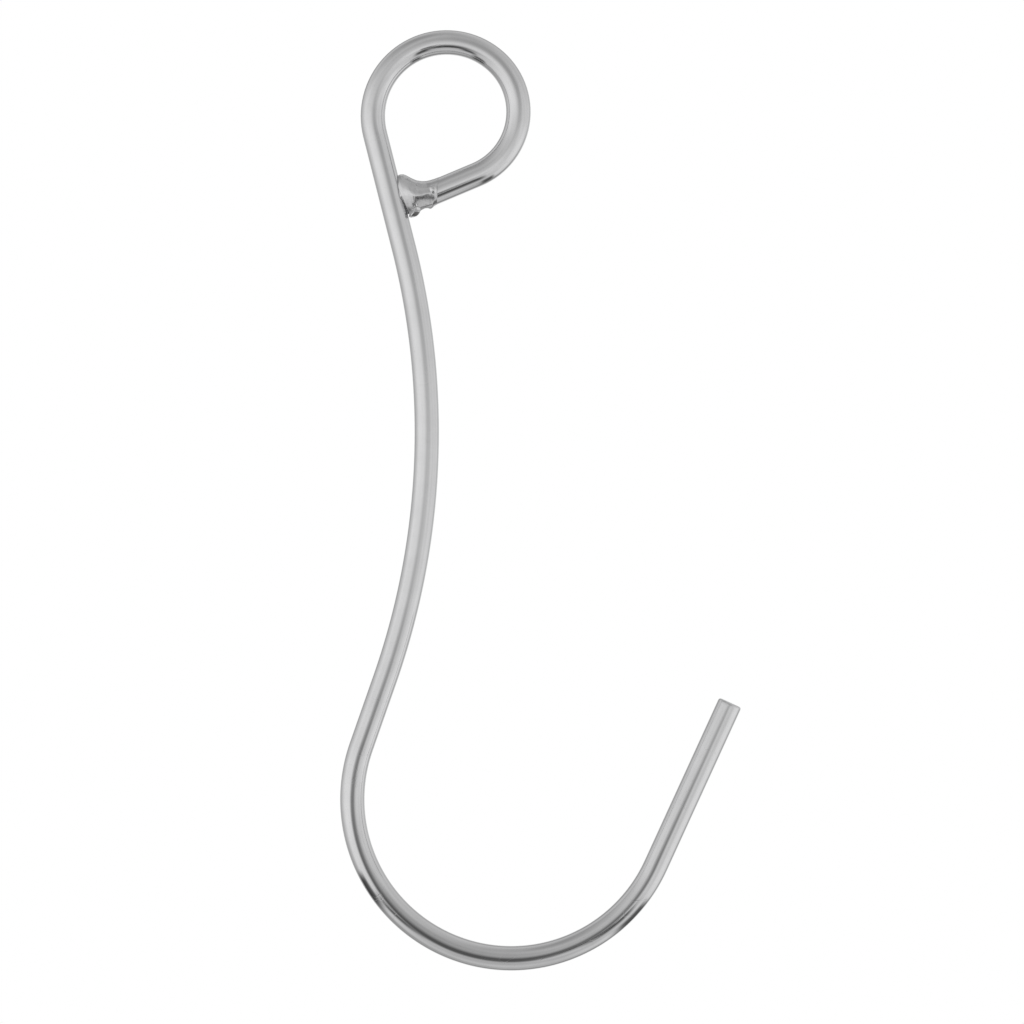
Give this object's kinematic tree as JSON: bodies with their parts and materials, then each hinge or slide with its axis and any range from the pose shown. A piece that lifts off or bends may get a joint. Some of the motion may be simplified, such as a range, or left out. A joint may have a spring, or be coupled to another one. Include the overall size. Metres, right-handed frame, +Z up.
{
  "type": "meat hook",
  "caption": "Round steel bar bent into a closed hanging eye, a long gently curved shank and a wide open bow with a blunt tip; the eye's end is welded to the neck.",
  "frame": {"origin": "centre of the eye's main bend, where the hook hangs, on the mid-plane of the bar", "axes": "+Z up, from the bow towards the eye; +Y along the eye's axis, away from the front; +X from the shank towards the tip"},
  "size_m": [0.1308, 0.0092, 0.3071],
  "materials": {
    "polished_bar": "polished, with fine draw lines along the bar",
    "weld_metal": "smooth as-welded bead, lightly polished"
  },
  "bodies": {
    "root": {"hook_bar": "polished_bar", "front_weld": "weld_metal", "back_weld": "weld_metal"}
  },
  "joints": []
}
